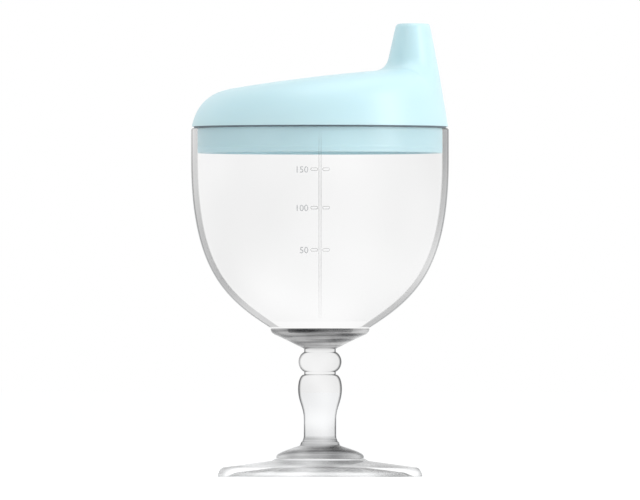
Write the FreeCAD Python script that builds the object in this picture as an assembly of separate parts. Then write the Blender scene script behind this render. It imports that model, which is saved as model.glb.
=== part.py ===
"""Goblet-shaped sippy cup: a clear bowl on a turned stem and foot, under a push-on lid with a spout.

Millimetres. +Z is up, and the origin is the centre of the foot's ring on the table.
The spout stands on the +X side, and the graduated scale faces -Y.
"""

import FreeCAD, Part
import math
import os

from FreeCAD import Vector

# Fits. Glued faces touch, and round ones keep the joint gap. Parts that come off keep the running gaps.
joint_gap = 0.03
lid_gap = 0.20
ring_gap = 0.05
valve_gap = 0.06

# Foot: a thin dished plate, hollow underneath, that stands on its rim.
foot_radius = 31.4
foot_seat_height = 5.6
foot_edge_height = 2.9
foot_edge_round = 2.2
foot_edge_bulge = 1.6
foot_hub_height = 4.9
foot_hub_margin = 1.15
foot_slope_radius = 26.0
foot_slope_height = 3.35
foot_slope_ease = 4.0
foot_plate = 2.1
foot_ring_width = 2.4

# Stem, from the flange on the foot up to the dish under the bowl.
stem_flange_radius = 13.6
stem_flange_height = 3.8
stem_flange_rise = 1.4
stem_flange_sweep = 4.4
stem_collar_radius = 6.6
stem_collar_height = 2.7
stem_collar_step = 1.2
stem_collar_fillet = 0.45
shank_radius = 4.95
shank_height = 5.2
baluster_radius = 6.75
baluster_height = 13.9
baluster_shoulder = 4.4
baluster_pull = 4.0
neck_radius = 4.85
neck_height = 0.9
bead_radius = 6.5
bead_height = 6.1
dish_radius = 15.15
dish_height = 6.3
dish_edge_height = 2.4
dish_edge_width = 2.4
dish_throat = 1.6
dish_recess_radius = 10.2
dish_recess_depth = 1.3
dish_recess_slant = 0.5
spigot_radius = 4.2
boss_radius = 4.4
boss_length = 2.6
socket_spare = 0.4

# Bowl: a straight rim, then one curve down to the seat.
bowl_radius = 39.5
bowl_height = 61.3
bowl_wall = 1.8
bowl_floor = 2.1
bowl_side_height = 9.2
bowl_side_handle = 33.5
bowl_foot_radius = 15.35
bowl_foot_step = 0.25
bowl_foot_handle = 16.9
bowl_foot_slope = 32.2
bowl_foot_draft = 0.8
bowl_inner_step = 0.6
rim_round = 0.45

# Scale moulded on the bowl's wall: a spine with a bar each side at 50, 100 and 150 ml.
scale_relief = 0.35
scale_spine_width = 0.9
scale_spine_start = 4.0
scale_spine_end = 2.0
scale_bar_gap = 0.25
scale_bar_length = 2.3
scale_bar_height = 1.1
scale_marks_ml = (50.0, 100.0, 150.0)
fill_halvings = 12

# Lid: a leaning side wall, a sloping roof, and a skirt that plugs the bowl.
lid_inset = 0.25
lid_slit = 0.5
lid_lean = 0.17
lid_wall = 1.8
roof_height = 15.4
roof_slope = 6.5
roof_crown = 500.0
roof_round = 8.4
roof_inner_round = 6.4
skirt_depth = 7.65
skirt_wall = 1.5
skirt_ridge = 0.12
skirt_ridge_height = 1.2
skirt_ridge_up = 1.0
vent_radius = 0.5
vent_from_wall = 11.0

# Seal ring: a square silicone section, half sunk in the lid.
seal_sink = 1.0
seal_width = 1.05

# Spout: an oval tapered tube near the edge of the roof, wider across than along X, with a deck below.
spout_from_edge = 10.75
spout_height = 31.5
spout_half_x = 5.15
spout_half_y = 8.6
spout_taper = 0.226
spout_top_round = 0.7
spout_wall = 1.7
spout_top_wall = 1.6
deck_height = 11.0
deck_thickness = 1.6
drink_hole_radius = 0.9
drink_hole_pitch = 4.4

# Valve: an oval silicone cup that plugs the collar under the deck.
collar_offset = 1.6
collar_half_x = 5.6
collar_half_y = 9.4
collar_wall = 1.3
collar_length = 5.4
valve_wall = 1.0
valve_height = 8.6
valve_flange = 1.2
valve_flange_height = 1.2
valve_slit_length = 5.0
valve_slit_width = 0.25
tab_length = 6.0
tab_width = 4.0
tab_thickness = 1.2
tab_drop = 0.3

# Heights and radii that follow from the sizes above.
stem_base = foot_seat_height
stem_top = (stem_base + stem_flange_height + stem_collar_height + shank_height + baluster_height
            + neck_height + bead_height + neck_height + dish_height)
bowl_base = stem_top
rim_height = bowl_base + bowl_height
bowl_bore = bowl_radius - bowl_wall
lid_base = rim_height + lid_slit
lid_radius = bowl_radius - lid_inset
skirt_radius = bowl_bore - lid_gap
skirt_bore = skirt_radius - skirt_wall
skirt_base = rim_height - skirt_depth
seal_inner = skirt_radius + ring_gap
seal_outer = seal_inner + seal_width
spout_x = lid_radius - spout_from_edge
spout_top = lid_base + spout_height
deck_top = lid_base + deck_height
deck_base = deck_top - deck_thickness
collar_x = spout_x - collar_offset
collar_base = deck_base - collar_length


def point(radius, height):
    """A point of a turned outline, in the XZ plane."""
    return Vector(radius, 0, height)


def line(start, end):
    return Part.LineSegment(start, end).toShape()


def curve(*poles):
    """A Bezier curve through its first and last poles."""
    bezier = Part.BezierCurve()
    bezier.setPoles(list(poles))
    return bezier.toShape()


def arc(start, middle, end):
    return Part.Arc(start, middle, end).toShape()


def turned(edges):
    """The solid that a closed outline sweeps round the Z axis."""
    face = Part.Face(Part.Wire(edges))
    return face.revolve(Vector(0, 0, 0), Vector(0, 0, 1), 360)


def runs(*points):
    """Straight edges from each point to the next."""
    return [line(start, end) for start, end in zip(points, points[1:])]


def cylinder(radius, low, high, x=0.0, y=0.0):
    return Part.makeCylinder(radius, high - low, Vector(x, y, low))


def tube(outer, inner, low, high):
    return cylinder(outer, low, high).cut(cylinder(inner, low, high))


def block(x_low, x_high, y_low, y_high, z_low, z_high):
    return Part.makeBox(x_high - x_low, y_high - y_low, z_high - z_low, Vector(x_low, y_low, z_low))


def stretched(shape, x_scale, y_scale, x=0.0):
    """The shape scaled across Z, then moved along X."""
    matrix = FreeCAD.Matrix()
    matrix.A11 = x_scale
    matrix.A22 = y_scale
    matrix.A14 = x
    return shape.transformGeometry(matrix)


def oval(half_x, half_y, low, high, x):
    """An upright oval prism."""
    return stretched(cylinder(1.0, low, high), half_x, half_y, x)


def make_foot():
    """A dished disc with a rounded edge, a flat seat for the stem, a socket, and a hollow underside."""
    seat = point(stem_flange_radius, foot_seat_height)
    hub = point(stem_flange_radius + foot_hub_margin, foot_hub_height)
    slope = point(foot_slope_radius, foot_slope_height)
    edge = point(foot_radius - foot_edge_round, foot_edge_height)
    rim = point(foot_radius, 0)
    under_slope = slope - Vector(0, 0, foot_plate)
    under_hub = point(stem_flange_radius, foot_hub_height - foot_plate)
    socket = spigot_radius + joint_gap
    outline = runs(point(socket, under_hub.z), point(socket, seat.z), seat, hub)
    outline.append(curve(hub, point(hub.x + foot_slope_ease, slope.z + (hub.z - slope.z) / 2),
                         point(slope.x - foot_slope_ease, slope.z), slope))
    outline += runs(slope, edge)
    outline.append(curve(edge, edge + Vector(foot_edge_bulge, 0, 0), rim))
    outline += runs(rim, point(foot_radius - foot_ring_width, 0), under_slope, under_hub,
                    point(socket, under_hub.z))
    return turned(outline)


def flange_and_collar(base, shank_base):
    """The flange sweeps up from its rim to a stepped collar, which eases into the shank."""
    rim = point(stem_flange_radius, base)
    top = point(stem_collar_radius, base + stem_flange_height)
    step = point((stem_collar_radius + shank_radius) / 2, top.z + stem_collar_step)
    ease = point(shank_radius + stem_collar_fillet, step.z + stem_collar_fillet)
    edges = [curve(rim, rim + Vector(0, 0, stem_flange_rise),
                   top + Vector(stem_flange_sweep, 0, -stem_flange_rise), top)]
    edges += runs(top, step, ease)
    edges.append(curve(ease, point(shank_radius, shank_base - stem_collar_fillet),
                       point(shank_radius, shank_base)))
    return edges


def shank_and_baluster(base, top):
    """A straight shank that swells into a pear-shaped baluster with a rounded shoulder."""
    swell = point(shank_radius, base + shank_height)
    belly = point(baluster_radius, top - baluster_shoulder)
    pull = Vector(0, 0, baluster_pull)
    end = point(neck_radius, top)
    edges = runs(point(shank_radius, base), swell)
    edges.append(curve(swell, swell + pull, belly - pull, belly))
    edges.append(curve(belly, point(baluster_radius, (belly.z + top) / 2 + neck_height / 2),
                       point((baluster_radius + neck_radius) / 2, top), end))
    return edges


def bead(base):
    """A round bead between two short necks."""
    low = point(neck_radius, base + neck_height)
    high = point(neck_radius, low.z + bead_height)
    middle = point(bead_radius, (low.z + high.z) / 2)
    top = high + Vector(0, 0, neck_height)
    return runs(point(neck_radius, base), low) + [arc(low, middle, high)] + runs(high, top)


def dish(base):
    """The dish flares from the neck to a rounded edge that the bowl sits on."""
    throat = point(neck_radius, base)
    lip = point(dish_radius - dish_edge_width, stem_top - dish_edge_height)
    edge = point(dish_radius, stem_top)
    return [
        curve(throat, throat + Vector(dish_throat, 0, dish_throat),
              point((neck_radius + lip.x) / 2, base + dish_throat), lip),
        curve(lip, point(dish_radius, lip.z + (lip.z - base) / dish_edge_width * neck_height / 2), edge),
    ]


def make_stem():
    """Flange, collar, shank, baluster, bead and dish turned in one piece.
    A spigot below plugs the foot, and a socket above takes the bowl's boss."""
    shank_base = stem_base + stem_flange_height + stem_collar_height
    baluster_top = shank_base + shank_height + baluster_height
    dish_base = stem_top - dish_height
    spigot_end = foot_hub_height - foot_plate
    recess = stem_top - dish_recess_depth
    socket = boss_radius + joint_gap
    socket_floor = stem_top - boss_length - socket_spare
    outline = runs(point(0, socket_floor), point(0, spigot_end), point(spigot_radius, spigot_end),
                   point(spigot_radius, stem_base), point(stem_flange_radius, stem_base))
    outline += flange_and_collar(stem_base, shank_base)
    outline += shank_and_baluster(shank_base, baluster_top)
    outline += bead(baluster_top)
    outline += dish(dish_base)
    outline += runs(point(dish_radius, stem_top), point(dish_recess_radius, stem_top),
                    point(dish_recess_radius - dish_recess_slant, recess), point(socket, recess),
                    point(socket, socket_floor), point(0, socket_floor))
    return turned(outline)


def bowl_body(inward, floor, step=0.0, top=0.0):
    """The bowl as a full solid: a straight rim, one curve down the wall, and a flat floor.
    The wall is moved inward, the floor raised, and the curve's lower end moved up along it."""
    slope = math.radians(bowl_foot_slope)
    along = Vector(math.cos(slope), 0, math.sin(slope))
    across = Vector(-math.sin(slope), 0, math.cos(slope))
    rim = point(bowl_radius - inward, rim_height + top)
    side = point(bowl_radius - inward, rim_height - bowl_side_height)
    base = point(bowl_foot_radius, bowl_base + bowl_foot_step) + across * inward + along * step
    seat = point(base.x - bowl_foot_draft, bowl_base + floor)
    outline = runs(seat, point(0, seat.z), point(0, rim.z), rim, side)
    outline.append(curve(side, side - Vector(0, 0, bowl_side_handle), base + along * bowl_foot_handle, base))
    outline += runs(base, seat)
    return turned(outline)


def fill_height(volume_ml):
    """The level at which the bowl holds that volume, found by halving."""
    hollow = bowl_body(bowl_wall, bowl_floor, bowl_inner_step)
    low = bowl_base + bowl_floor
    high = rim_height
    for _ in range(fill_halvings):
        middle = (low + high) / 2
        below = hollow.common(cylinder(bowl_radius, bowl_base, middle))
        if below.Volume < volume_ml * 1000:
            low = middle
        else:
            high = middle
    return (low + high) / 2


def make_bowl():
    """The bowl with its moulded scale, a rounded rim, and a boss that locates it on the stem."""
    relief = bowl_body(-scale_relief, -bowl_foot_step)
    bars = [block(-scale_spine_width / 2, scale_spine_width / 2, -2 * bowl_radius, 0,
                  bowl_base + scale_spine_start, rim_height - scale_spine_end)]
    reach = scale_spine_width / 2 + scale_bar_gap
    for volume in scale_marks_ml:
        level = fill_height(volume)
        for side in (-1, 1):
            low_x, high_x = sorted((side * reach, side * (reach + scale_bar_length)))
            bars.append(block(low_x, high_x, -2 * bowl_radius, 0,
                              level - scale_bar_height / 2, level + scale_bar_height / 2))
    outside = bowl_body(0, 0)
    for bar in bars:
        outside = outside.fuse(relief.common(bar))
    wall = outside.cut(bowl_body(bowl_wall, bowl_floor, bowl_inner_step, top=rim_round))
    rim_edges = [edge for edge in wall.Edges if edge.BoundBox.ZMin > rim_height - rim_round]
    wall = wall.makeFillet(rim_round, rim_edges)
    boss = cylinder(boss_radius, bowl_base - boss_length, bowl_base + bowl_floor / 2)
    return wall.fuse(boss).removeSplitter()


def leaning_wall(inward, top):
    """The solid inside the lid's side wall, carried up to the top height and moved inward."""
    base = point(lid_radius - inward, lid_base)
    end = point(base.x - lid_lean * (top - lid_base), top)
    return turned(runs(point(0, lid_base), base, end, point(0, top), point(0, lid_base)))


def on_sphere(edge, centre, radius):
    """True where the edge lies on that sphere all along."""
    low, high = edge.ParameterRange
    places = [edge.valueAt(low + (high - low) * share) for share in (0.0, 0.3, 0.7)]
    return all(abs(place.distanceToPoint(centre) - radius) < 1e-3 for place in places)


def under_roof(column, inward, rounding):
    """The part of a round column under the roof's wide sphere, with its top edge rounded."""
    tilt = math.radians(roof_slope)
    crown = Vector(0, 0, lid_base + roof_height)
    centre = crown - Vector(-math.sin(tilt), 0, math.cos(tilt)) * roof_crown
    body = column.common(Part.makeSphere(roof_crown - inward, centre, Vector(0, 1, 0)))
    edges = [edge for edge in body.Edges
             if edge.Length > lid_radius and on_sphere(edge, centre, roof_crown - inward)]
    return body.makeFillet(rounding, edges)


def upright_ellipse(half_x, half_y, height):
    """An oval wire round the spout's axis."""
    long_end = Vector(spout_x, half_y, height)
    short_end = Vector(spout_x - half_x, 0, height)
    ellipse = Part.Ellipse(long_end, short_end, Vector(spout_x, 0, height))
    return Part.Wire([ellipse.toShape()])


def spout_body(inward, low, high):
    """The spout's oval taper between two heights, moved inward, and kept within the leaning wall."""
    ovals = []
    for height in (low, high):
        spread = spout_taper * (spout_top - height) - inward
        ovals.append(upright_ellipse(spout_half_x + spread, spout_half_y + spread, height))
    taper = Part.makeLoft(ovals, True, True)
    if high == spout_top:
        top_edges = [edge for edge in taper.Edges if edge.BoundBox.ZMin > spout_top - 1e-3]
        taper = taper.makeFillet(spout_top_round, top_edges)
    return taper.common(leaning_wall(inward, high + 1))


def skirt_plug():
    """The skirt as a full plug, with a low ridge round it that grips the bowl."""
    ridge_base = skirt_base + skirt_ridge_up
    ridge_top = ridge_base + skirt_ridge_height
    ridge_middle = point(skirt_radius + skirt_ridge, (ridge_base + ridge_top) / 2)
    outline = runs(point(0, skirt_base), point(skirt_radius, skirt_base), point(skirt_radius, ridge_base))
    outline.append(arc(point(skirt_radius, ridge_base), ridge_middle, point(skirt_radius, ridge_top)))
    outline += runs(point(skirt_radius, ridge_top), point(skirt_radius, lid_base + seal_sink),
                    point(0, lid_base + seal_sink), point(0, skirt_base))
    return turned(outline)


def make_lid():
    """Roof, side wall, spout, deck, valve collar and skirt, moulded in one piece."""
    above_roof = lid_base + 2 * roof_height
    outside = under_roof(leaning_wall(0, above_roof), 0, roof_round)
    inside = under_roof(cylinder(skirt_bore, skirt_base - 1, above_roof), lid_wall, roof_inner_round)
    shell = outside.cut(tube(seal_outer + ring_gap, skirt_radius, lid_base - 1, lid_base + seal_sink))
    shell = shell.fuse(skirt_plug()).cut(inside)
    shell = shell.fuse(spout_body(0, deck_base, spout_top))
    shell = shell.cut(spout_body(spout_wall, deck_top, spout_top - spout_top_wall))
    collar = oval(collar_half_x + collar_wall, collar_half_y + collar_wall, collar_base, deck_top, collar_x)
    shell = shell.fuse(collar)
    shell = shell.cut(oval(collar_half_x, collar_half_y, collar_base - 1, deck_top + 1, collar_x))
    for row in (-1, 0, 1):
        shell = shell.cut(cylinder(drink_hole_radius, spout_top - 2 * spout_top_wall, spout_top + 1,
                                   spout_x, row * drink_hole_pitch))
    shell = shell.cut(cylinder(vent_radius, lid_base + 2, above_roof, vent_from_wall - lid_radius))
    return shell.removeSplitter()


def make_seal():
    """The ring that fills the slit between the lid and the bowl's rim."""
    return tube(seal_outer, seal_inner, rim_height, lid_base + seal_sink)


def make_valve():
    """An oval cup, open below, with a crossed slit in its crown, a flange and a pull tab."""
    half_x = collar_half_x - valve_gap
    half_y = collar_half_y - valve_gap
    crown = collar_base + valve_height
    flange_base = collar_base - valve_flange_height
    cup = oval(half_x, half_y, collar_base, crown, collar_x)
    flange = oval(collar_half_x + valve_flange, collar_half_y + valve_flange,
                  flange_base, collar_base, collar_x)
    hollow = oval(half_x - valve_wall, half_y - valve_wall, flange_base - 1, crown - valve_wall, collar_x)
    body = cup.fuse(flange).cut(hollow)
    for along, across in ((valve_slit_length, valve_slit_width), (valve_slit_width, valve_slit_length)):
        body = body.cut(block(collar_x - across / 2, collar_x + across / 2, -along / 2, along / 2,
                              crown - 2 * valve_wall, crown + 1))
    tab_root = collar_x - collar_half_x
    tab_top = collar_base - tab_drop
    tab = block(tab_root - tab_length, tab_root, -tab_width / 2, tab_width / 2,
                tab_top - tab_thickness, tab_top)
    tab = tab.cut(oval(half_x, half_y, tab_top - tab_thickness - 1, tab_top + 1, collar_x))
    return body.fuse(tab)


def main():
    os.makedirs("parts", exist_ok=True)
    made = {
        "foot": make_foot(),
        "stem": make_stem(),
        "bowl": make_bowl(),
        "lid_shell": make_lid(),
        "lid_seal_ring": make_seal(),
        "spout_valve": make_valve(),
    }
    for name, shape in made.items():
        solids = shape.Solids
        print(name, "solids", len(solids), "valid", shape.isValid(), "cm3", round(shape.Volume / 1000, 3))
        shape.exportStep("parts/" + name + ".step")


main()
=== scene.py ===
"""The looks of a goblet-shaped sippy cup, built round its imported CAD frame. Lengths are in metres."""

import math

import bpy
import numpy as np
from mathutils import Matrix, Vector


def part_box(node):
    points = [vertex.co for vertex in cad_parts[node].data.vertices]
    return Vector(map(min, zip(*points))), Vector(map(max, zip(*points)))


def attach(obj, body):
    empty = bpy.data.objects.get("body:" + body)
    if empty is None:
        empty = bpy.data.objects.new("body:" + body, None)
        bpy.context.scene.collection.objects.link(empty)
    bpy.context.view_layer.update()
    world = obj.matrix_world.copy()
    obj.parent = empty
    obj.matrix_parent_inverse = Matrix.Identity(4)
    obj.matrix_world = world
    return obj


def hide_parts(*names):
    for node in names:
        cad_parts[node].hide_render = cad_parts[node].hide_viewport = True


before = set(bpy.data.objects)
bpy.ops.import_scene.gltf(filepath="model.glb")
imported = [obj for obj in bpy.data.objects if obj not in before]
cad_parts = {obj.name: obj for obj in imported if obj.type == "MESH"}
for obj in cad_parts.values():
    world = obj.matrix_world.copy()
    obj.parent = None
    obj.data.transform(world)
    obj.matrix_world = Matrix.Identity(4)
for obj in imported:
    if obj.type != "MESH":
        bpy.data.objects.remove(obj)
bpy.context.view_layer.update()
mm = 0.001


# ---------------------------------------------------------------- viewpoint
# The cup is looked at from a few metres away through a long lens, level with its stem,
# so its rim and its foot are almost straight lines.
view_width = 0.196
view_distance = 5.3
eye_height = 0.0325
view_centre = Vector((0.0, 0.0, 0.0694))

camera_data = bpy.data.cameras.new("long_lens")
camera_data.sensor_width = 36.0
camera_data.lens = camera_data.sensor_width * view_distance / view_width
camera_data.clip_end = 100.0
camera = bpy.data.objects.new("long_lens", camera_data)
camera.location = (0.0, -view_distance, eye_height)
camera.rotation_euler = (view_centre - camera.location).to_track_quat("-Z", "Y").to_euler()
bpy.context.collection.objects.link(camera)
bpy.context.scene.camera = camera
bpy.context.scene.view_settings.view_transform = "Standard"


# ---------------------------------------------------------------- foot
# A thin dished plate of clear copolyester, moulded on its own, hollow underneath and standing on its rim.
# The stem's spigot is glued into its middle.
foot_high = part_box("foot")[1]
foot_radius = foot_high[0]
foot_seat = foot_high[2]
foot_plate = 2.1 * mm
foot_columns = 180
hub_radius = 13.6 * mm
hub_foot_radius = 14.7 * mm
hub_height = 4.9 * mm
slope_radius = 26.0 * mm
slope_height = 3.35 * mm
slope_ease = 3.0 * mm
edge_height = 2.9 * mm
edge_round = 2.2 * mm
edge_bulge = 0.6 * mm
edge_straight = 0.3 * mm
ring_width = 2.4 * mm
ring_round = 0.6 * mm


def bend(*poles, count=20):
    """A Bezier curve: at each step along it, the sum of the poles weighted by Bernstein's polynomials."""
    poles = np.array(poles, dtype=float)
    order = len(poles) - 1
    power = np.arange(order + 1)
    step = np.linspace(0.0, 1.0, count)[:, None]
    choose = np.array([math.comb(order, k) for k in power], dtype=float)
    return (choose * step ** power * (1.0 - step) ** (order - power)) @ poles


def rounded(corners, radius, count=5):
    """Straight runs between corners. Each inner corner is cut off by a short Bezier curve.
    The curve is tangent to both runs."""
    corners = np.array(corners, dtype=float)
    pieces = [corners[:1]]
    for before, corner, after in zip(corners, corners[1:], corners[2:]):
        back = before - corner
        ahead = after - corner
        reach = min(radius, np.linalg.norm(back) / 2.2, np.linalg.norm(ahead) / 2.2)
        pieces.append(bend(corner + back / np.linalg.norm(back) * reach, corner,
                           corner + ahead / np.linalg.norm(ahead) * reach, count=count))
    pieces.append(corners[-1:])
    return np.concatenate(pieces)


def closed_surface(name, rings, first, last, crease=40.0):
    """A solid whose skin is a stack of rings, one array of points each, with a fan of triangles at each end.
    The faces are turned round if the volume that they enclose is negative, so that they point outwards."""
    count, columns = rings.shape[:2]
    points = np.concatenate([[first], rings.reshape(-1, 3), [last]])
    here = 1 + np.arange(columns)
    after = 1 + (np.arange(columns) + 1) % columns
    row = columns * np.arange(count - 1)[:, None]
    quads = np.stack([row + here, row + after, row + columns + after, row + columns + here], -1)
    quads = quads.reshape(-1, 4)
    end = columns * (count - 1)
    top = np.stack([np.zeros(columns, int), after, here], -1)
    bottom = np.stack([np.full(columns, len(points) - 1), end + here, end + after], -1)
    a, b, c, d = (points[quads[:, i]] for i in range(4))
    volume = np.einsum("ij,ij->", a, np.cross(b, c)) + np.einsum("ij,ij->", a, np.cross(c, d))
    if volume < 0:
        quads = quads[:, ::-1]
        top = top[:, ::-1]
        bottom = bottom[:, ::-1]
    mesh = bpy.data.meshes.new(name)
    mesh.from_pydata(points.tolist(), [], top.tolist() + quads.tolist() + bottom.tolist())
    mesh.shade_smooth()
    mesh.set_sharp_from_angle(angle=math.radians(crease))
    piece = bpy.data.objects.new(name, mesh)
    bpy.context.collection.objects.link(piece)
    return piece


def turned(name, outline, angles, relief=None):
    """A solid turned round Z: each point of the outline, a radius and a height, is carried round the angles.
    The outline starts and ends on the axis. Relief is a function of radius, angle and height that adds to
    the radius."""
    ring = outline[1:-1]
    radius = np.repeat(ring[:, :1], len(angles), axis=1)
    height = np.repeat(ring[:, 1:], len(angles), axis=1)
    if relief is not None:
        radius = radius + relief(radius, angles[None, :], height)
    rings = np.stack([radius * np.cos(angles), radius * np.sin(angles), height], -1)
    return closed_surface(name, rings, (0, 0, outline[0, 1]), (0, 0, outline[-1, 1]))


def full_turn(columns):
    """Equal steps round a full circle, without the last one, which would fall on the first."""
    return np.linspace(0.0, 2.0 * math.pi, columns, endpoint=False)


def flow_waviness(group_name="flow_waviness"):
    """A node group for moulded plastic: Height is wide noise, and Cloud is noise twelve times finer."""
    group = bpy.data.node_groups.new(group_name, "ShaderNodeTree")
    group.interface.new_socket("Scale", in_out="INPUT", socket_type="NodeSocketFloat")
    group.interface.new_socket("Height", in_out="OUTPUT", socket_type="NodeSocketFloat")
    group.interface.new_socket("Cloud", in_out="OUTPUT", socket_type="NodeSocketFloat")
    entry = group.nodes.new("NodeGroupInput")
    leave = group.nodes.new("NodeGroupOutput")
    place = group.nodes.new("ShaderNodeTexCoord")
    wide = group.nodes.new("ShaderNodeTexNoise")
    wide.inputs["Detail"].default_value = 1.0
    fine = group.nodes.new("ShaderNodeTexNoise")
    fine.inputs["Detail"].default_value = 3.0
    finer = group.nodes.new("ShaderNodeMath")
    finer.operation = "MULTIPLY"
    finer.inputs[1].default_value = 12.0
    group.links.new(place.outputs["Object"], wide.inputs["Vector"])
    group.links.new(place.outputs["Object"], fine.inputs["Vector"])
    group.links.new(entry.outputs["Scale"], wide.inputs["Scale"])
    group.links.new(entry.outputs["Scale"], finer.inputs[0])
    group.links.new(finer.outputs[0], fine.inputs["Scale"])
    group.links.new(wide.outputs["Fac"], leave.inputs["Height"])
    group.links.new(fine.outputs["Fac"], leave.inputs["Cloud"])
    return group


waviness = flow_waviness()


def carry(piece, name, rows, columns):
    """An attribute on a closed surface. Rows is one value a ring, repeated round its columns, or a grid with
    a value for each ring and column. The two end points take the nearest ring's first value."""
    grid = np.broadcast_to(np.asarray(rows, dtype=float).reshape(len(rows), -1), (len(rows), columns))
    values = np.concatenate([grid[:1, 0], grid.ravel(), grid[-1:, 0]])
    layer = piece.data.attributes.new(name, "FLOAT", "POINT")
    layer.data.foreach_set("value", values)


def clear_plastic(name, covers, face_cover, wave_scale, wave_strength):
    """Clear moulded plastic, drawn as a thin dark grey film over what lies behind it. Its grey is painted
    shade for the darker surroundings that the real clear walls refract. It covers little where it is seen
    face-on and more towards grazing angles, painted shade for a thick wall's dark edge, and its cover
    drifts in clouds, whose thin places are painted highlights. Three carried attributes act on it. With
    edge_share the grazing shade applies, and with streak_share there are dark streaks, painted shade for
    the refracted surroundings. With the third, the heavy-shade attribute, the cover is heavy at any angle,
    painted shade for the flanks of the raised marks and the stem's thick parts."""
    material = bpy.data.materials.new(name)
    material.use_nodes = True
    nodes, links = material.node_tree.nodes, material.node_tree.links
    shader = nodes["Principled BSDF"]
    shader.inputs["Roughness"].default_value = 0.06
    shader.inputs["Specular IOR Level"].default_value = 0.06
    # Painted shade: the film's cover grows from face-on towards grazing angles, for the dark refracted edge
    # of a thick clear wall.
    facing = nodes.new("ShaderNodeLayerWeight")
    facing.inputs["Blend"].default_value = 0.5
    ramp = nodes.new("ShaderNodeValToRGB")
    stops = ramp.color_ramp.elements
    while len(stops) < len(covers):
        stops.new(0.5)
    for stop, (place, cover) in zip(stops, covers):
        stop.position = place
        stop.color = (cover, cover, cover, 1.0)
    wave = nodes.new("ShaderNodeGroup")
    wave.node_tree = waviness
    wave.inputs["Scale"].default_value = wave_scale
    bump = nodes.new("ShaderNodeBump")
    bump.inputs["Strength"].default_value = wave_strength
    bump.inputs["Distance"].default_value = 0.1 * mm
    links.new(facing.outputs["Facing"], ramp.inputs["Fac"])
    edge = nodes.new("ShaderNodeAttribute")
    edge.attribute_name = "edge_share"
    edge_shade_mix = nodes.new("ShaderNodeMix")
    edge_shade_mix.data_type = "RGBA"
    edge_shade_mix.inputs["A"].default_value = (face_cover, face_cover, face_cover, 1.0)
    links.new(edge.outputs["Fac"], edge_shade_mix.inputs["Factor"])
    links.new(ramp.outputs["Color"], edge_shade_mix.inputs["B"])
    # Painted shade: dark streaks where streak_share is set, standing in for the refracted surroundings seen
    # in the foot and the dish.
    place = nodes.new("ShaderNodeTexCoord")
    stretch = nodes.new("ShaderNodeMapping")
    stretch.inputs["Scale"].default_value = (35.0, 35.0, 1100.0)
    streak = nodes.new("ShaderNodeTexNoise")
    streak.inputs["Scale"].default_value = 1.0
    streak.inputs["Detail"].default_value = 2.0
    streak_ramp = nodes.new("ShaderNodeValToRGB")
    streak_ramp.color_ramp.elements[0].position = 0.38
    streak_ramp.color_ramp.elements[0].color = (0.3, 0.3, 0.3, 1.0)
    streak_ramp.color_ramp.elements[1].position = 0.62
    streak_ramp.color_ramp.elements[1].color = (1.0, 1.0, 1.0, 1.0)
    share = nodes.new("ShaderNodeAttribute")
    share.attribute_name = "streak_share"
    streaked = nodes.new("ShaderNodeMix")
    streaked.data_type = "RGBA"
    streaked.blend_type = "MULTIPLY"
    links.new(place.outputs["Object"], stretch.inputs["Vector"])
    links.new(stretch.outputs["Vector"], streak.inputs["Vector"])
    links.new(streak.outputs["Fac"], streak_ramp.inputs["Fac"])
    links.new(share.outputs["Fac"], streaked.inputs["Factor"])
    links.new(streak_ramp.outputs["Color"], streaked.inputs["B"])
    # Painted shade: a heavy cover at any angle, for the flanks of the raised marks and the stem's thick
    # parts.
    heavy_shade_share = nodes.new("ShaderNodeAttribute")
    heavy_shade_share.attribute_name = "heavy_shade_share"
    heavy_shade_mix = nodes.new("ShaderNodeMix")
    heavy_shade_mix.data_type = "RGBA"
    heavy_shade_mix.inputs["B"].default_value = (0.62, 0.62, 0.62, 1.0)
    links.new(heavy_shade_share.outputs["Fac"], heavy_shade_mix.inputs["Factor"])
    links.new(edge_shade_mix.outputs["Result"], heavy_shade_mix.inputs["A"])
    links.new(heavy_shade_mix.outputs["Result"], streaked.inputs["A"])
    # Painted highlights: the cover thins in wide clouds, and the whiter patches stand in for soft highlights
    # on the clear plastic.
    highlight_drift = nodes.new("ShaderNodeMath")
    highlight_drift.operation = "MULTIPLY_ADD"
    highlight_drift.inputs[1].default_value = 3.4
    highlight_drift.inputs[2].default_value = -0.7
    covered = nodes.new("ShaderNodeMath")
    covered.operation = "MULTIPLY"
    links.new(wave.outputs["Height"], highlight_drift.inputs[0])
    links.new(streaked.outputs["Result"], covered.inputs[0])
    links.new(highlight_drift.outputs[0], covered.inputs[1])
    links.new(covered.outputs[0], shader.inputs["Alpha"])
    # The film's dark grey is the colour of its painted shade.
    grey = nodes.new("ShaderNodeValToRGB")
    grey.color_ramp.elements[0].color = (0.03, 0.03, 0.032, 1.0)
    grey.color_ramp.elements[1].color = (0.07, 0.07, 0.074, 1.0)
    links.new(wave.outputs["Cloud"], grey.inputs["Fac"])
    links.new(grey.outputs["Color"], shader.inputs["Base Color"])
    links.new(wave.outputs["Height"], bump.inputs["Height"])
    links.new(bump.outputs["Normal"], shader.inputs["Normal"])
    return material


foot_top = [
    (0, foot_seat),
    (hub_radius, foot_seat),
    (hub_foot_radius, hub_height),
    (slope_radius, slope_height),
    (foot_radius - edge_round, edge_height),
]
foot_under = [
    (foot_radius, edge_straight),
    (foot_radius, 0),
    (foot_radius - ring_width, 0),
    (slope_radius, slope_height - foot_plate),
    (hub_radius, hub_height - foot_plate),
    (0, hub_height - foot_plate),
]
foot_outline = np.concatenate([
    rounded(foot_top, slope_ease, count=8),
    bend(foot_top[-1], (foot_radius - edge_bulge, edge_height), foot_under[0])[1:],
    rounded(foot_under, ring_round)[1:],
])
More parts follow.
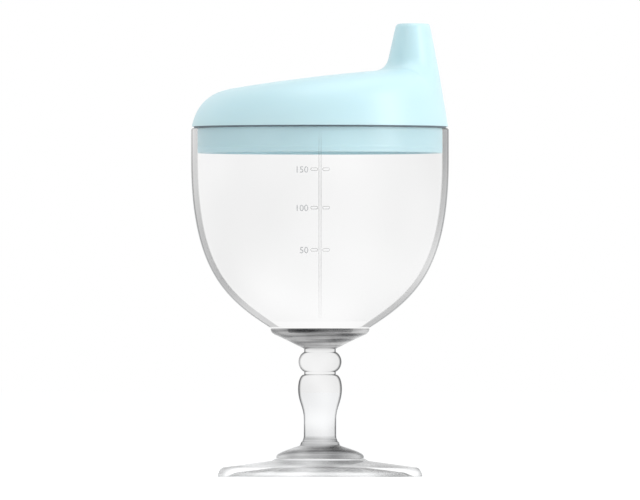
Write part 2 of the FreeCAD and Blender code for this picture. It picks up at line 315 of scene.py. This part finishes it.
# Painted shade: the foot's film covers from face-on to grazing, applied all over it, with streaks at 0.45
# share.
foot_covers = ((0.0, 0.04), (0.6, 0.1), (0.88, 0.5), (1.0, 0.9))
foot_plastic = clear_plastic("clear_foot", foot_covers, 0.3, 60.0, 0.3)
foot = turned("foot_plate", foot_outline, full_turn(foot_columns))
carry(foot, "edge_share", np.ones(len(foot_outline) - 2), foot_columns)
carry(foot, "streak_share", np.full(len(foot_outline) - 2, 0.45), foot_columns)
foot.data.materials.append(foot_plastic)
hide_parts("foot")
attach(foot, "goblet")


# ---------------------------------------------------------------- stem
# One solid clear moulding, turned in shape and glued between the bowl and the foot.
# From the foot up it has a flange, a stepped collar, a shank, a pear-shaped baluster, a bead and a dish.
stem_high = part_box("stem")[1]
glue_gap = 0.04 * mm
stem_base = foot_seat + glue_gap
stem_top = stem_high[2] - glue_gap
neck = 4.85 * mm
shank = 4.95 * mm
flange_top = foot_seat + 3.8 * mm
shank_base = flange_top + 2.7 * mm
baluster_base = shank_base + 5.2 * mm
baluster_top = baluster_base + 13.9 * mm
belly = baluster_top - 4.4 * mm
bead_base = baluster_top + 0.9 * mm
bead_top = bead_base + 6.1 * mm
dish_base = bead_top + 0.9 * mm
dish_lip = stem_high[2] - 2.4 * mm
dish_radius = stem_high[0]
flange_radius = 13.5 * mm
flange_rim = stem_base + 0.5 * mm
collar_radius = 6.6 * mm
belly_radius = 6.75 * mm
bead_pull = 7.05 * mm
neck_flare = neck + 0.4 * mm
throat_flare = neck + 0.5 * mm
throat = dish_base + 0.3 * mm
dish_shoulder = (dish_radius - 1.6 * mm, dish_lip + 0.3 * mm)
dish_brim = (dish_radius, stem_top - 0.3 * mm)
recess_floor = stem_top - 1.3 * mm

stem_outline = np.concatenate([
    rounded([(0, stem_base), (flange_radius, stem_base), (flange_radius, flange_rim)], 0.3 * mm),
    bend((flange_radius, flange_rim), (13.3 * mm, stem_base + 1.6 * mm), (11.0 * mm, flange_top - 1.4 * mm),
         (collar_radius, flange_top))[1:],
    rounded([(collar_radius, flange_top), (6.1 * mm, flange_top + 0.2 * mm),
             (5.8 * mm, flange_top + 1.2 * mm),
             (5.45 * mm, flange_top + 1.4 * mm), (shank + 0.1 * mm, shank_base - 0.3 * mm),
             (shank, shank_base + 0.4 * mm)], 0.3 * mm)[1:],
    bend((shank, baluster_base), (shank, baluster_base + 4.0 * mm), (belly_radius, belly - 4.0 * mm),
         (belly_radius, belly), count=32),
    bend((belly_radius, belly), (belly_radius, belly + 2.6 * mm), (6.0 * mm, baluster_top - 0.2 * mm),
         (neck + 0.3 * mm, baluster_top), count=20)[1:],
    rounded([(neck + 0.3 * mm, baluster_top), (neck, baluster_top + 0.1 * mm), (neck, bead_base),
             (neck_flare, bead_base + 0.2 * mm)], 0.15 * mm)[1:],
    bend((neck_flare, bead_base + 0.2 * mm), (bead_pull, bead_base + 1.6 * mm),
         (bead_pull, bead_top - 1.6 * mm), (neck_flare, bead_top - 0.2 * mm), count=24)[1:],
    rounded([(neck_flare, bead_top - 0.2 * mm), (neck, bead_top), (neck, dish_base), (throat_flare, throat)],
            0.15 * mm)[1:],
    bend((throat_flare, throat), (8.0 * mm, dish_base + 1.5 * mm),
         (dish_radius - 4.4 * mm, dish_lip - 0.9 * mm), dish_shoulder, count=20)[1:],
    bend(dish_shoulder, (dish_radius - 0.1 * mm, dish_lip + 1.0 * mm), dish_brim, count=10)[1:],
    rounded([dish_brim, (dish_radius, stem_top), (10.2 * mm, stem_top), (9.7 * mm, recess_floor),
             (0, recess_floor)], 0.25 * mm)[1:],
])
# Painted shade: the stem's film covers from face-on to grazing.
stem_covers = ((0.0, 0.075), (0.5, 0.085), (0.6, 0.25), (0.72, 0.8), (1.0, 1.0))
stem_plastic = clear_plastic("clear_stem", stem_covers, 0.1, 80.0, 0.1)
stem_columns = 144
stem = turned("turned_stem", stem_outline, full_turn(stem_columns))
stem_heights = stem_outline[1:-1, 1]
# Painted shade, heavy and streaked, below the shank and in the dish, where the stem is thick.
thick_heights = (shank_base - 0.6 * mm, shank_base + 0.6 * mm, dish_base - 0.3 * mm, dish_base + 0.8 * mm)
thick = np.interp(stem_heights, thick_heights, (0.6, 0.0, 0.0, 0.9))
carry(stem, "edge_share", np.ones(len(stem_heights)), stem_columns)
carry(stem, "heavy_shade_share", thick * 0.95, stem_columns)
carry(stem, "streak_share", thick, stem_columns)
stem.data.materials.append(stem_plastic)
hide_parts("stem")
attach(stem, "goblet")


# ---------------------------------------------------------------- bowl
# A clear moulded bowl with a 1.8 mm wall, glued on the stem's dish. Its scale stands out of the front of
# the wall: a spine from near the rim to near the floor, with a rounded bar each side at each mark.
bowl_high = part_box("bowl")[1]
bowl_radius = bowl_high[0]
rim_height = bowl_high[2]
bowl_base = stem_high[2]
bowl_wall = 1.8 * mm
bowl_floor = 2.1 * mm
side_height = rim_height - 9.2 * mm
seat_slope = math.radians(32.2)
along_seat = np.array([math.cos(seat_slope), math.sin(seat_slope)])
into_wall = np.array([-math.sin(seat_slope), math.cos(seat_slope)])
seat_point = np.array([15.35 * mm, bowl_base + 0.25 * mm])
scale_relief = 0.3 * mm
scale_edge = 0.26 * mm
mark_heights = (69.2 * mm, 82.0 * mm, 93.7 * mm)
spine_low = 48.5 * mm
spine_high = 105.0 * mm
spine_half_width = 0.45 * mm
bar_centres = (-1.75 * mm, 1.85 * mm)
bar_half_length = 1.15 * mm
bar_half_height = 0.55 * mm


def wall_curve(inward, lift):
    """The wall's Bezier curve from the seat up to the straight side, moved inward by a distance."""
    base = seat_point + into_wall * inward + along_seat * lift
    side = np.array([bowl_radius - inward, side_height])
    return bend(base, base + along_seat * 16.9 * mm, side - (0, 33.5 * mm), side, count=90)


def scale_height(radius, angle, height):
    """How far the scale stands out: each bar is a rounded box across and up, eased over its edge.
    The greatest of the bars counts, and only on the front of the bowl's outer side."""
    across = radius * np.cos(angle)
    front = (np.sin(angle) < -0.5) & (radius > bowl_radius * 0.3) & (outer_mask > 0.5)
    bars = [(0.0, (spine_high + spine_low) / 2, spine_half_width, (spine_high - spine_low) / 2)]
    for mark in mark_heights:
        for centre in bar_centres:
            bars.append((centre, mark, bar_half_length, bar_half_height))
    rise = np.zeros_like(across)
    for x, z, half_width, half_height in bars:
        core = min(half_width, half_height) * 0.9
        out_x = np.maximum(np.abs(across - x) - (half_width - core), 0.0)
        out_z = np.maximum(np.abs(height - z) - (half_height - core), 0.0)
        depth = np.clip((core - np.hypot(out_x, out_z)) / scale_edge, 0.0, 1.0)
        rise = np.maximum(rise, depth * depth * (3.0 - 2.0 * depth))
    return scale_relief * rise * front


base_run = rounded([(0, bowl_base), (14.6 * mm, bowl_base), seat_point], 0.2 * mm)
wall_heights = wall_curve(0.0, 0.0)
bar_rows = np.concatenate([np.linspace(mark - 0.75 * mm, mark + 0.75 * mm, 16) for mark in mark_heights])
above_seat = wall_heights[1:, 1][wall_heights[1:, 1] > seat_point[1]]
fine_heights = np.unique(np.concatenate([above_seat, bar_rows]))
outer_wall = np.stack([np.interp(fine_heights, wall_heights[:, 1], wall_heights[:, 0]), fine_heights], -1)
bowl_bore = bowl_radius - bowl_wall
rim_start = side_height + 0.5 * mm
rim_run = rounded([(bowl_radius, rim_start), (bowl_radius, rim_height), (bowl_bore, rim_height),
                   (bowl_bore, rim_start)], 0.7 * mm, count=8)
inner_wall = wall_curve(bowl_wall, 0.6 * mm)[::-1]
floor_height = bowl_base + bowl_floor
floor_run = rounded([inner_wall[-1], (inner_wall[-1][0] - 0.8 * mm, floor_height), (0, floor_height)],
                    0.8 * mm, count=8)
bowl_outline = np.concatenate([base_run, outer_wall, rim_run, inner_wall, floor_run[1:]])
outer_mask = np.zeros(len(bowl_outline))
outer_mask[len(base_run):len(base_run) + len(outer_wall) + len(rim_run) // 2] = 1.0
outer_mask = outer_mask[1:-1, None]
front_reach = 4.2 * mm / bowl_radius
front_columns = np.linspace(-front_reach, front_reach, 120) - math.pi / 2
side_columns = np.linspace(front_reach, 2 * math.pi - front_reach, 182)[1:-1] - math.pi / 2
# Painted shade: the bowl's film covers from face-on to grazing, with the heavy edge only on the outer side.
bowl_covers = ((0.0, 0.025), (0.67, 0.035), (0.7, 0.27), (0.83, 0.3), (0.87, 0.8), (1.0, 1.0))
bowl_plastic = clear_plastic("clear_bowl", bowl_covers, 0.025, 25.0, 0.1)
bowl_angles = np.concatenate([front_columns, side_columns])
bowl = turned("graduated_bowl", bowl_outline, bowl_angles, scale_height)
ring_radius, ring_height = bowl_outline[1:-1].T
grid_radius = np.repeat(ring_radius[:, None], len(bowl_angles), axis=1)
grid_height = np.repeat(ring_height[:, None], len(bowl_angles), axis=1)
# Painted shade, heavy at any angle, on the flanks of the raised scale.
risen = scale_height(grid_radius, bowl_angles[None, :], grid_height) / scale_relief
carry(bowl, "edge_share", outer_mask, len(bowl_angles))
carry(bowl, "heavy_shade_share", np.minimum(4.0 * risen * (1.0 - risen), 1.0), len(bowl_angles))
bowl.data.materials.append(bowl_plastic)
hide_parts("bowl")
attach(bowl, "goblet")


# ---------------------------------------------------------------- numerals
# Plain moulded numerals beside the bars: 50, 100 and 150, each standing a hair proud of the wall.
numeral_height = 2.05 * mm
numeral_edge = -3.5 * mm
numeral_proud = 0.12 * mm


def frosted_numeral_plastic():
    """A grey, frosted, slightly clear plastic that clouds finely."""
    material = bpy.data.materials.new("numeral_frost")
    material.use_nodes = True
    nodes, links = material.node_tree.nodes, material.node_tree.links
    shader = nodes["Principled BSDF"]
    cloud = nodes.new("ShaderNodeTexNoise")
    cloud.inputs["Scale"].default_value = 900.0
    place = nodes.new("ShaderNodeTexCoord")
    ramp = nodes.new("ShaderNodeValToRGB")
    ramp.color_ramp.elements[0].color = (0.40, 0.41, 0.42, 1.0)
    ramp.color_ramp.elements[1].color = (0.62, 0.63, 0.64, 1.0)
    shader.inputs["Roughness"].default_value = 0.4
    shader.inputs["Alpha"].default_value = 0.75
    links.new(place.outputs["Object"], cloud.inputs["Vector"])
    links.new(cloud.outputs["Fac"], ramp.inputs["Fac"])
    links.new(ramp.outputs["Color"], shader.inputs["Base Color"])
    return material


def numeral(text, mark):
    """Flat lettering with a little depth, wrapped on the wall. Each point keeps its place across and up.
    Its distance from the axis is the wall's radius at its height plus its own depth in the lettering."""
    lettering = bpy.data.curves.new("numeral_" + text, "FONT")
    lettering.body = text
    lettering.size = numeral_height * 1.35
    lettering.align_x = "RIGHT"
    lettering.extrude = numeral_proud / 2
    lettering.resolution_u = 3
    source = bpy.data.objects.new("numeral_source", lettering)
    bpy.context.collection.objects.link(source)
    mesh = bpy.data.meshes.new_from_object(source.evaluated_get(bpy.context.evaluated_depsgraph_get()))
    bpy.data.objects.remove(source)
    flat = np.empty(len(mesh.vertices) * 3)
    mesh.vertices.foreach_get("co", flat)
    flat = flat.reshape(-1, 3)
    x = flat[:, 0] + numeral_edge
    z = flat[:, 1] - numeral_height / 2 + mark
    radius = np.interp(z, wall_heights[:, 1], wall_heights[:, 0]) + flat[:, 2] + numeral_proud / 2
    placed = np.stack([x, -np.sqrt(radius ** 2 - x ** 2), z], -1)
    mesh.vertices.foreach_set("co", placed.ravel())
    mesh.update()
    piece = bpy.data.objects.new("numeral_" + text, mesh)
    bpy.context.collection.objects.link(piece)
    return piece


numeral_frost = frosted_numeral_plastic()
for text, mark in zip(("50", "100", "150"), mark_heights):
    digits = numeral(text, mark)
    digits.data.materials.append(numeral_frost)
    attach(digits, "goblet")


# ---------------------------------------------------------------- seal ring
# A square silicone ring, half sunk in the lid's edge. It rests on the rim and shows as a thin dark line: its
# dark colour is painted shade for the shadowed slit between the lid and the rim.
seal_low, seal_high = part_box("lid_seal_ring")
seal_outer = seal_high[0]
seal_inner = seal_outer - 1.05 * mm


def ring_solid(name, corners, radius, columns):
    """A closed ring: a rounded cross-section, joined end to end, carried round a full circle."""
    section = rounded(corners + corners[:2], radius, count=4)[1:-1]
    angle = full_turn(columns)
    points = np.stack([section[:, :1] * np.cos(angle), section[:, :1] * np.sin(angle),
                       np.repeat(section[:, 1:], columns, axis=1)], -1)
    rows = len(section)
    i, j = np.meshgrid(np.arange(rows), np.arange(columns), indexing="ij")
    down, right = (i + 1) % rows, (j + 1) % columns
    quads = np.stack([i * columns + j, i * columns + right, down * columns + right, down * columns + j], -1)
    quads = quads.reshape(-1, 4)
    flat = points.reshape(-1, 3)
    a, b, c, d = (flat[quads[:, k]] for k in range(4))
    if np.einsum("ij,ij->", a, np.cross(b, c)) + np.einsum("ij,ij->", a, np.cross(c, d)) < 0:
        quads = quads[:, ::-1]
    mesh = bpy.data.meshes.new(name)
    mesh.from_pydata(flat.tolist(), [], quads.tolist())
    mesh.shade_smooth()
    mesh.set_sharp_from_angle(angle=math.radians(40.0))
    piece = bpy.data.objects.new(name, mesh)
    bpy.context.collection.objects.link(piece)
    return piece


def silicone(name, dark, light, roughness):
    """Satin silicone: a soft colour that clouds a little, with a very fine grain."""
    material = bpy.data.materials.new(name)
    material.use_nodes = True
    nodes, links = material.node_tree.nodes, material.node_tree.links
    shader = nodes["Principled BSDF"]
    wave = nodes.new("ShaderNodeGroup")
    wave.node_tree = waviness
    wave.inputs["Scale"].default_value = 120.0
    ramp = nodes.new("ShaderNodeValToRGB")
    ramp.color_ramp.elements[0].color = (*dark, 1.0)
    ramp.color_ramp.elements[1].color = (*light, 1.0)
    bump = nodes.new("ShaderNodeBump")
    bump.inputs["Strength"].default_value = 0.15
    bump.inputs["Distance"].default_value = 0.05 * mm
    shader.inputs["Roughness"].default_value = roughness
    links.new(wave.outputs["Cloud"], ramp.inputs["Fac"])
    links.new(ramp.outputs["Color"], shader.inputs["Base Color"])
    links.new(wave.outputs["Cloud"], bump.inputs["Height"])
    links.new(bump.outputs["Normal"], shader.inputs["Normal"])
    return material


seal_corners = [(seal_inner, seal_low[2]), (seal_outer, seal_low[2]), (seal_outer, seal_high[2]),
                (seal_inner, seal_high[2])]
seal = ring_solid("seal_ring", seal_corners, 0.2 * mm, 220)
# Painted shade: the ring's dark colour stands in for the shadowed slit between lid and rim.
seal.data.materials.append(silicone("seal_silicone", (0.10, 0.14, 0.17), (0.16, 0.20, 0.23), 0.5))
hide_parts("lid_seal_ring")
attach(seal, "seal")


# ---------------------------------------------------------------- lid
# One polypropylene moulding in pale blue: a leaning side wall, a sloping crowned roof, an oval spout that
# grows out of the roof's high side, and a skirt below that plugs the bowl. Three holes open the spout's top.
# The deck and collar that hold the valve under the spout are not in this piece.
lid_low, lid_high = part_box("lid_shell")
lid_radius = 39.25 * mm
lid_base = seal_high[2] - 1.0 * mm
lid_lean = 0.17
lid_wall = 1.8 * mm
roof_axis_height = lid_base + 15.4 * mm
roof_slope = math.tan(math.radians(6.5))
roof_crown = 500.0 * mm
spout_x = lid_radius - 10.75 * mm
spout_top = lid_high[2]
spout_half_x = 5.15 * mm
spout_half_y = 8.6 * mm
spout_taper = 0.226
spout_edge_blend = 1.0 * mm
roof_edge_blend = 9.8 * mm
spout_root_blend = 3.6 * mm
skirt_radius = 37.5 * mm
skirt_bore = 36.0 * mm
skirt_base = lid_low[2]
hole_radius = 0.9 * mm
hole_pitch = 4.4 * mm
vent_radius = 0.5 * mm
vent_from_wall = 11.0 * mm


def blend_low(a, b, reach):
    """The lesser of two distances, eased where they are nearly equal, which rounds an outer edge."""
    ease = np.maximum(reach - np.abs(a - b), 0.0)
    return np.minimum(a, b) - ease * ease / (4.0 * reach)


def blend_high(a, b, reach):
    """The greater of two distances, eased where they are nearly equal, which fills an inner corner."""
    return -blend_low(-a, -b, reach)


def depth_in_lid(x, y, z):
    """How deep a point lies under the lid's skin. The dome is the leaning wall eased into the roof.
    The spout is an oval taper under its flat top, and both are joined by a soft root inside the wall."""
    lean_scale = 1.0 / math.hypot(1.0, lid_lean)
    wall = (lid_radius - lid_lean * (z - lid_base) - np.hypot(x, y)) * lean_scale
    roof = roof_axis_height + roof_slope * x - (x * x + y * y) / (2.0 * roof_crown) - z
    spread = spout_taper * np.maximum(spout_top - z, 0.0)
    a = spout_half_x + spread
    b = spout_half_y + spread
    dx = x - spout_x
    share = np.sqrt((dx / a) ** 2 + (y / b) ** 2) + 1e-9
    steepness = np.sqrt((dx / a ** 2) ** 2 + (y / b ** 2) ** 2) / share + 1e-9
    side = (1.0 - share) / steepness / math.hypot(1.0, spout_taper)
    spout = blend_low(blend_low(side, spout_top - z, spout_edge_blend), wall, 0.8 * mm)
    dome = blend_low(wall, roof, roof_edge_blend)
    return np.minimum(blend_high(dome, spout, spout_root_blend), wall)


def skin_height(x, y, depth, low, high):
    """The height at which a point over each x and y is that deep, found by halving a span repeatedly."""
    low = np.full(x.shape, low)
    high = np.full(x.shape, high)
    for _ in range(34):
        middle = (low + high) / 2
        deep = depth_in_lid(x, y, middle) > depth
        low = np.where(deep, middle, low)
        high = np.where(deep, high, middle)
    return (low + high) / 2


def skin_rings(depth, limit, count, columns, floor):
    """Rings from the spout's axis out to a circle about the lid's axis. Along each direction the skin is
    sampled finely, then spaced evenly by the length of its own path."""
    angle = full_turn(columns)
    reach = -spout_x * np.cos(angle) + np.sqrt(limit ** 2 - (spout_x * np.sin(angle)) ** 2)
    share = np.linspace(0.0, 1.0, 1400)[:, None]
    x = spout_x + share * reach * np.cos(angle)
    y = share * reach * np.sin(angle)
    z = np.maximum(skin_height(x, y, depth, floor, spout_top), floor)
    path = np.sqrt(np.diff(x, axis=0) ** 2 + np.diff(y, axis=0) ** 2 + np.diff(z, axis=0) ** 2)
    length = np.concatenate([np.zeros((1, columns)), np.cumsum(path, axis=0)])
    even = np.linspace(0.0, 1.0, count + 1)[1:]
    spaced = [np.stack([np.interp(even * length[-1, k], length[:, k], grid[:, k]) for grid in (x, y, z)], -1)
              for k in range(columns)]
    return np.stack(spaced, 1)


lid_columns = 288
outer_rings = skin_rings(0.0, lid_radius - 0.01 * mm, 150, lid_columns, lid_base)
inner_rings = skin_rings(lid_wall, skirt_bore, 90, lid_columns, lid_base)
edge_angle = np.arctan2(outer_rings[-1, :, 1], outer_rings[-1, :, 0])
groove_outer = seal_outer + 0.05 * mm
groove_top = seal_high[2]
edge_run = [(lid_radius, lid_base + 0.3 * mm), (lid_radius - 0.05 * mm, lid_base)]
groove_run = [(groove_outer, lid_base), (groove_outer, groove_top), (skirt_radius, groove_top)]
ridge_run = [(skirt_radius, skirt_base + 2.2 * mm), (skirt_radius + 0.1 * mm, skirt_base + 1.6 * mm),
             (skirt_radius, skirt_base + 1.0 * mm)]
skirt_run = [(skirt_radius, skirt_base), (skirt_bore, skirt_base), (skirt_bore, lid_base)]
under = rounded(edge_run + groove_run + ridge_run + skirt_run, 0.25 * mm)[2:]
inner_angle = np.arctan2(inner_rings[-1, :, 1], inner_rings[-1, :, 0])
turn = (inner_angle - edge_angle + math.pi) % (2 * math.pi) - math.pi
share_in = np.linspace(0.0, 1.0, len(under))[:, None]
under_angle = edge_angle + turn * share_in
under_rings = np.stack([under[:, :1] * np.cos(under_angle), under[:, :1] * np.sin(under_angle),
                        np.repeat(under[:, 1:], lid_columns, axis=1)], -1)
lid_rings = np.concatenate([outer_rings, under_rings, inner_rings[::-1]])
inner_top = skin_height(np.array([spout_x]), np.array([0.0]), lid_wall, lid_base, spout_top)[0]
lid_first = (spout_x, 0, spout_top)
lid_last = (spout_x, 0, inner_top)
lid = closed_surface("lid_shell_moulding", lid_rings, lid_first, lid_last, crease=35.0)


def drill(piece, holes, radius, low, high):
    """Round holes along Z, cut by a boolean of one prism for each hole, and made part of the mesh."""
    sides = 32
    angle = full_turn(sides)
    prisms = []
    faces = []
    for n, (x, y) in enumerate(holes):
        ring = np.stack([x + radius * np.cos(angle), y + radius * np.sin(angle)], -1)
        prisms.append(np.concatenate([np.c_[ring, np.full(sides, low)], np.c_[ring, np.full(sides, high)]]))
        near = 2 * sides * n + np.arange(sides)
        beside = 2 * sides * n + (np.arange(sides) + 1) % sides
        faces += np.stack([near, beside, beside + sides, near + sides], -1).tolist()
        faces += [near[::-1].tolist(), (near + sides).tolist()]
    mesh = bpy.data.meshes.new("drill")
    mesh.from_pydata(np.concatenate(prisms).tolist(), [], faces)
    cutter = bpy.data.objects.new("drill", mesh)
    bpy.context.collection.objects.link(cutter)
    cut = piece.modifiers.new("holes", "BOOLEAN")
    cut.object = cutter
    cut.operation = "DIFFERENCE"
    cut.solver = "EXACT"
    result = bpy.data.meshes.new_from_object(piece.evaluated_get(bpy.context.evaluated_depsgraph_get()))
    piece.modifiers.clear()
    piece.data = result
    bpy.data.objects.remove(cutter)


drinking_holes = [(spout_x, y) for y in (-hole_pitch, 0.0, hole_pitch)]
drill(lid, drinking_holes, hole_radius, spout_top - 4.0 * mm, spout_top + 1.0 * mm)
drill(lid, [(vent_from_wall - lid_radius, 0.0)], vent_radius, lid_base + 4.0 * mm, spout_top)


def blue_polypropylene():
    """Pale blue polypropylene: milky, lighter in soft clouds, with a satin gloss and a faint grain."""
    material = bpy.data.materials.new("lid_plastic")
    material.use_nodes = True
    nodes, links = material.node_tree.nodes, material.node_tree.links
    shader = nodes["Principled BSDF"]
    wave = nodes.new("ShaderNodeGroup")
    wave.node_tree = waviness
    wave.inputs["Scale"].default_value = 35.0
    ramp = nodes.new("ShaderNodeValToRGB")
    ramp.color_ramp.elements[0].position = 0.3
    ramp.color_ramp.elements[0].color = (0.545, 0.765, 0.815, 1.0)
    ramp.color_ramp.elements[1].position = 0.7
    ramp.color_ramp.elements[1].color = (0.575, 0.795, 0.845, 1.0)
    bump = nodes.new("ShaderNodeBump")
    bump.inputs["Strength"].default_value = 0.08
    bump.inputs["Distance"].default_value = 0.05 * mm
    shader.inputs["Roughness"].default_value = 0.38
    shader.inputs["Subsurface Weight"].default_value = 0.15
    shader.inputs["Subsurface Radius"].default_value = (1.0, 1.2, 1.4)
    shader.inputs["Subsurface Scale"].default_value = 1.5 * mm
    links.new(wave.outputs["Height"], ramp.inputs["Fac"])
    links.new(ramp.outputs["Color"], shader.inputs["Base Color"])
    links.new(wave.outputs["Cloud"], bump.inputs["Height"])
    links.new(bump.outputs["Normal"], shader.inputs["Normal"])
    return material


lid_plastic = blue_polypropylene()
lid.data.materials.clear()
lid.data.materials.append(lid_plastic)
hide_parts("lid_shell")
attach(lid, "lid")


# ---------------------------------------------------------------- valve
# A silicone cup that plugs a collar under the spout. It keeps its modelled shape and gets its finish here.
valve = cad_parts["spout_valve"]
valve.data.materials.clear()
valve.data.materials.append(silicone("valve_silicone", (0.66, 0.70, 0.71), (0.74, 0.78, 0.79), 0.45))


# ---------------------------------------------------------------- studio
# A pale floor that fades into a white room, with two tall softboxes and a wide one overhead.
floor_mesh = bpy.data.meshes.new("studio_floor")
floor_half = 20.0
floor_corners = [(-floor_half, -floor_half, 0), (floor_half, -floor_half, 0), (floor_half, floor_half, 0),
                 (-floor_half, floor_half, 0)]
floor_mesh.from_pydata(floor_corners, [], [(0, 1, 2, 3)])
floor = bpy.data.objects.new("studio_floor", floor_mesh)
bpy.context.collection.objects.link(floor)
floor_material = bpy.data.materials.new("studio_floor")
floor_material.use_nodes = True
nodes, links = floor_material.node_tree.nodes, floor_material.node_tree.links
floor_shader = nodes["Principled BSDF"]
floor_shader.inputs["Base Color"].default_value = (0.8, 0.8, 0.8, 1.0)
floor_shader.inputs["Roughness"].default_value = 1.0
floor_shader.inputs["Specular IOR Level"].default_value = 0.0
floor_shader.inputs["Emission Color"].default_value = (1.0, 1.0, 1.0, 1.0)
light_path = nodes.new("ShaderNodeLightPath")
floor_glow = nodes.new("ShaderNodeMath")
floor_glow.operation = "MULTIPLY"
floor_glow.inputs[1].default_value = 0.52
floor_seen = nodes.new("ShaderNodeMath")
floor_seen.operation = "MAXIMUM"
links.new(light_path.outputs["Is Camera Ray"], floor_seen.inputs[0])
links.new(light_path.outputs["Is Transmission Ray"], floor_seen.inputs[1])
floor_mirrored = nodes.new("ShaderNodeMath")
floor_mirrored.operation = "MAXIMUM"
links.new(floor_seen.outputs[0], floor_mirrored.inputs[0])
links.new(light_path.outputs["Is Glossy Ray"], floor_mirrored.inputs[1])
links.new(floor_mirrored.outputs[0], floor_glow.inputs[0])
links.new(floor_glow.outputs[0], floor_shader.inputs["Emission Strength"])
floor_mesh.materials.append(floor_material)

world = bpy.data.worlds.new("studio_room")
world.use_nodes = True
bpy.context.scene.world = world
nodes, links = world.node_tree.nodes, world.node_tree.links
room = nodes["Background"]
room_path = nodes.new("ShaderNodeLightPath")
seen_direct = nodes.new("ShaderNodeMath")
seen_direct.operation = "MAXIMUM"
seen_clear = nodes.new("ShaderNodeMath")
seen_clear.operation = "MAXIMUM"
room_colour = nodes.new("ShaderNodeMix")
room_colour.data_type = "RGBA"
room_colour.inputs["A"].default_value = (0.60, 0.61, 0.62, 1.0)
room_colour.inputs["B"].default_value = (1.0, 1.0, 1.0, 1.0)
links.new(room_path.outputs["Is Camera Ray"], seen_direct.inputs[0])
links.new(room_path.outputs["Is Transmission Ray"], seen_direct.inputs[1])
links.new(seen_direct.outputs[0], seen_clear.inputs[0])
links.new(room_path.outputs["Is Glossy Ray"], seen_clear.inputs[1])
links.new(seen_clear.outputs[0], room_colour.inputs["Factor"])
links.new(room_colour.outputs["Result"], room.inputs["Color"])
room.inputs["Strength"].default_value = 1.0


def softbox(name, place, aim, width, height, power):
    """A rectangular lamp that faces a point."""
    lamp = bpy.data.lights.new(name, "AREA")
    lamp.shape = "RECTANGLE"
    lamp.size = width
    lamp.size_y = height
    lamp.energy = power
    box = bpy.data.objects.new(name, lamp)
    box.location = place
    box.rotation_euler = (Vector(aim) - Vector(place)).to_track_quat("-Z", "Y").to_euler()
    bpy.context.collection.objects.link(box)


softbox("softbox_left", (-0.7, -0.55, 0.35), (0, 0, 0.08), 0.35, 0.8, 1.3)
softbox("softbox_right", (0.75, -0.35, 0.3), (0, 0, 0.08), 0.3, 0.8, 4.0)
softbox("softbox_top", (0.0, -0.1, 0.9), (0, 0, 0.1), 0.7, 0.7, 2.4)
